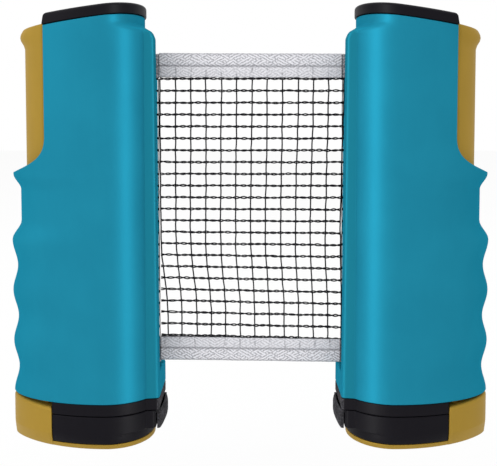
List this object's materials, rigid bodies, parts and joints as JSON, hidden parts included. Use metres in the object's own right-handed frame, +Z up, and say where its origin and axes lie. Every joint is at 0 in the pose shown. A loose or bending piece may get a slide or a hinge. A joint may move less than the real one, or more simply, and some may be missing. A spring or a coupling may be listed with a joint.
{
  "type": "table tennis net clamp",
  "caption": "Retractable table tennis net: clamp posts with thumb sliders and sprung jaws, each winding an end of the taped net on a sprung spool.",
  "frame": {"origin": "on the floor that the posts stand on, midway between them and on the net's plane", "axes": "+X along the net to the right post, -Y towards the viewer, +Z up"},
  "size_m": [0.2232, 0.0456, 0.2004],
  "materials": {
    "teal_shell": "moulded ABS, satin gloss, teal blue",
    "black_plastic": "moulded plastic, fine satin texture, black",
    "yellow_plastic": "moulded plastic, satin, mustard yellow",
    "grip_rubber": "ribbed grip rubber, dark grey",
    "spring_steel": "bright wire and zinc-plated steel",
    "spool_plastic": "natural moulded plastic",
    "net_cord": "knotted black cord",
    "net_tape": "folded woven white tape with a stitch line"
  },
  "bodies": {
    "left_post": {"left_housing_front": "teal_shell", "left_housing_rear": "teal_shell", "left_top_cap": "black_plastic", "left_upper_jaw": "black_plastic", "left_upper_jaw_pad": "grip_rubber", "left_clamp_spring": "spring_steel", "left_spring_rod": "spring_steel", "left_spool_axle": "spring_steel", "left_recoil_spring": "spring_steel", "left_spring_arbor": "spool_plastic", "left_lower_bush": "spool_plastic", "left_upper_bush": "spool_plastic", "left_net_lead": "net_cord", "left_housing_screw_1": "spring_steel", "left_housing_screw_2": "spring_steel", "left_housing_screw_3": "spring_steel", "left_housing_screw_4": "spring_steel"},
    "left_clamp": {"left_jaw_slider": "yellow_plastic", "left_lower_jaw_cover": "black_plastic", "left_jaw_pad": "grip_rubber", "left_jaw_screw_1": "spring_steel", "left_jaw_screw_2": "spring_steel"},
    "left_spool": {"left_spool_core": "spool_plastic", "left_spring_cup": "spool_plastic", "left_net_roll": "net_cord"},
    "net": {"net_mesh": "net_cord", "net_top_tape": "net_tape", "net_bottom_tape": "net_tape"},
    "right_post": {"right_housing_front": "teal_shell", "right_housing_rear": "teal_shell", "right_top_cap": "black_plastic", "right_upper_jaw": "black_plastic", "right_upper_jaw_pad": "grip_rubber", "right_clamp_spring": "spring_steel", "right_spring_rod": "spring_steel", "right_spool_axle": "spring_steel", "right_recoil_spring": "spring_steel", "right_spring_arbor": "spool_plastic", "right_lower_bush": "spool_plastic", "right_upper_bush": "spool_plastic", "right_net_lead": "net_cord", "right_housing_screw_1": "spring_steel", "right_housing_screw_2": "spring_steel", "right_housing_screw_3": "spring_steel", "right_housing_screw_4": "spring_steel"},
    "right_clamp": {"right_jaw_slider": "yellow_plastic", "right_lower_jaw_cover": "black_plastic", "right_jaw_pad": "grip_rubber", "right_jaw_screw_1": "spring_steel", "right_jaw_screw_2": "spring_steel"},
    "right_spool": {"right_spool_core": "spool_plastic", "right_spring_cup": "spool_plastic", "right_net_roll": "net_cord"}
  },
  "joints": [
    {"name": "net_pull_left", "type": "slide", "parent": "left_post", "child": "net", "axis": [1, 0, 0], "range_m": [0, 0.8], "stiffness_N_per_m": 2, "springref_m": -0.3},
    {"name": "net_pull_right", "type": "slide", "parent": "net", "child": "right_post", "axis": [1, 0, 0], "range_m": [0, 0.8], "stiffness_N_per_m": 2, "springref_m": -0.3},
    {"name": "left_clamp_slide", "type": "slide", "parent": "left_post", "child": "left_clamp", "axis": [0, 0, -1], "range_m": [0, 0.045], "stiffness_N_per_m": 600, "springref_m": -0.02, "deforming": ["left_clamp_spring"]},
    {"name": "right_clamp_slide", "type": "slide", "parent": "right_post", "child": "right_clamp", "axis": [0, 0, -1], "range_m": [0, 0.045], "stiffness_N_per_m": 600, "springref_m": -0.02, "deforming": ["right_clamp_spring"]},
    {"name": "left_spool_turn", "type": "hinge", "parent": "left_post", "child": "left_spool", "pos_m": [-0.065, 0, 0], "axis": [0, 0, 1], "range_deg": [-4056, 0]},
    {"name": "right_spool_turn", "type": "hinge", "parent": "right_post", "child": "right_spool", "pos_m": [0.065, 0, 0], "axis": [0, 0, 1], "range_deg": [0, 4056]}
  ],
  "couplings": [
    {"joint": "left_spool_turn", "follows": "net_pull_left", "rad_per_m": -88.4},
    {"joint": "right_spool_turn", "follows": "net_pull_right", "rad_per_m": 88.4}
  ]
}
